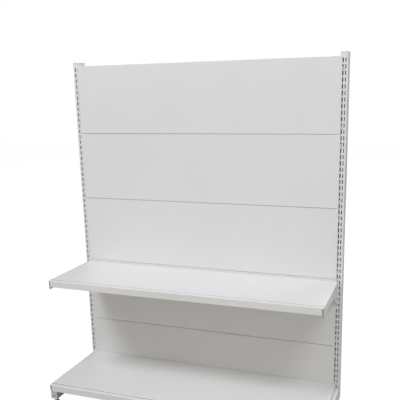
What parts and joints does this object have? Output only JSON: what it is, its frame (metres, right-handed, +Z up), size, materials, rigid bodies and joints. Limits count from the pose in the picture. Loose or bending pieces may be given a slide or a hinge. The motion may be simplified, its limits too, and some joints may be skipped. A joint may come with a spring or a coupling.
{
  "type": "gondola shelving unit",
  "caption": "Single-sided retail gondola bay with slotted uprights, hook-on back panels, a base shelf on feet and a bracketed upper shelf.",
  "frame": {"origin": "on the floor, at the centre of the bay's bounding box", "axes": "+Z up, -Y towards the shopper (the front), +X to the right of someone facing the back of the bay from the front"},
  "size_m": [1.23, 0.44, 1.5],
  "materials": {
    "powder_coated_steel": "satin light grey powder coat with fine orange peel",
    "cap_plastic": "moulded light grey plastic",
    "zinc_plated_steel": "bright zinc plate",
    "leveller_plastic": "moulded black plastic"
  },
  "bodies": {
    "frame": {"left_upright": "powder_coated_steel", "left_upright_cap": "cap_plastic", "right_upright": "powder_coated_steel", "right_upright_cap": "cap_plastic", "back_panel_1": "powder_coated_steel", "back_panel_2": "powder_coated_steel", "back_panel_3": "powder_coated_steel", "back_panel_4": "powder_coated_steel", "back_panel_5": "powder_coated_steel", "left_base_foot": "powder_coated_steel", "left_foot_end_plate": "powder_coated_steel", "left_foot_hook_plate": "powder_coated_steel", "left_foot_bolt": "zinc_plated_steel", "left_foot_thread_insert": "zinc_plated_steel", "left_upright_thread_insert": "zinc_plated_steel", "right_base_foot": "powder_coated_steel", "right_foot_end_plate": "powder_coated_steel", "right_foot_hook_plate": "powder_coated_steel", "right_foot_bolt": "zinc_plated_steel", "right_foot_thread_insert": "zinc_plated_steel", "right_upright_thread_insert": "zinc_plated_steel", "front_left_leveller_nut": "zinc_plated_steel", "front_right_leveller_nut": "zinc_plated_steel", "rear_left_leveller_nut": "zinc_plated_steel", "rear_right_leveller_nut": "zinc_plated_steel"},
    "base_shelf_body": {"base_shelf": "powder_coated_steel", "base_shelf_stiffener": "powder_coated_steel"},
    "upper_brackets": {"left_shelf_bracket": "powder_coated_steel", "right_shelf_bracket": "powder_coated_steel"},
    "upper_shelf_body": {"upper_shelf": "powder_coated_steel", "upper_shelf_stiffener": "powder_coated_steel"},
    "front_left_leveller_foot": {"front_left_leveller_pad": "leveller_plastic"},
    "front_left_leveller_screw": {"front_left_leveller_stud": "zinc_plated_steel"},
    "front_right_leveller_foot": {"front_right_leveller_pad": "leveller_plastic"},
    "front_right_leveller_screw": {"front_right_leveller_stud": "zinc_plated_steel"},
    "rear_left_leveller_foot": {"rear_left_leveller_pad": "leveller_plastic"},
    "rear_left_leveller_screw": {"rear_left_leveller_stud": "zinc_plated_steel"},
    "rear_right_leveller_foot": {"rear_right_leveller_pad": "leveller_plastic"},
    "rear_right_leveller_screw": {"rear_right_leveller_stud": "zinc_plated_steel"}
  },
  "joints": [
    {"name": "base_shelf_lift", "type": "slide", "parent": "frame", "child": "base_shelf_body", "axis": [0, 0, 1], "range_m": [0, 0.06]},
    {"name": "bracket_lift", "type": "slide", "parent": "frame", "child": "upper_brackets", "axis": [0, 0, 1], "range_m": [0, 0.008]},
    {"name": "upper_shelf_lift", "type": "slide", "parent": "upper_brackets", "child": "upper_shelf_body", "axis": [0, 0, 1], "range_m": [0, 0.06]},
    {"name": "front_left_leveller_travel", "type": "slide", "parent": "frame", "child": "front_left_leveller_foot", "axis": [0, 0, 1], "range_m": [-0.02, 0.006]},
    {"name": "front_left_leveller_turn", "type": "hinge", "parent": "front_left_leveller_foot", "child": "front_left_leveller_screw", "pos_m": [-0.6, -0.175, 0.03], "axis": [0, 0, 1], "range_deg": [-4800, 1440]},
    {"name": "front_right_leveller_travel", "type": "slide", "parent": "frame", "child": "front_right_leveller_foot", "axis": [0, 0, 1], "range_m": [-0.02, 0.006]},
    {"name": "front_right_leveller_turn", "type": "hinge", "parent": "front_right_leveller_foot", "child": "front_right_leveller_screw", "pos_m": [0.6, -0.175, 0.03], "axis": [0, 0, 1], "range_deg": [-4800, 1440]},
    {"name": "rear_left_leveller_travel", "type": "slide", "parent": "frame", "child": "rear_left_leveller_foot", "axis": [0, 0, 1], "range_m": [-0.02, 0.006]},
    {"name": "rear_left_leveller_turn", "type": "hinge", "parent": "rear_left_leveller_foot", "child": "rear_left_leveller_screw", "pos_m": [-0.6, 0.195, 0.03], "axis": [0, 0, 1], "range_deg": [-4800, 1440]},
    {"name": "rear_right_leveller_travel", "type": "slide", "parent": "frame", "child": "rear_right_leveller_foot", "axis": [0, 0, 1], "range_m": [-0.02, 0.006]},
    {"name": "rear_right_leveller_turn", "type": "hinge", "parent": "rear_right_leveller_foot", "child": "rear_right_leveller_screw", "pos_m": [0.6, 0.195, 0.03], "axis": [0, 0, 1], "range_deg": [-4800, 1440]}
  ],
  "couplings": [
    {"joint": "front_left_leveller_turn", "follows": "front_left_leveller_travel", "rad_per_m": 4188.8},
    {"joint": "front_right_leveller_turn", "follows": "front_right_leveller_travel", "rad_per_m": 4188.8},
    {"joint": "rear_left_leveller_turn", "follows": "rear_left_leveller_travel", "rad_per_m": 4188.8},
    {"joint": "rear_right_leveller_turn", "follows": "rear_right_leveller_travel", "rad_per_m": 4188.8}
  ]
}
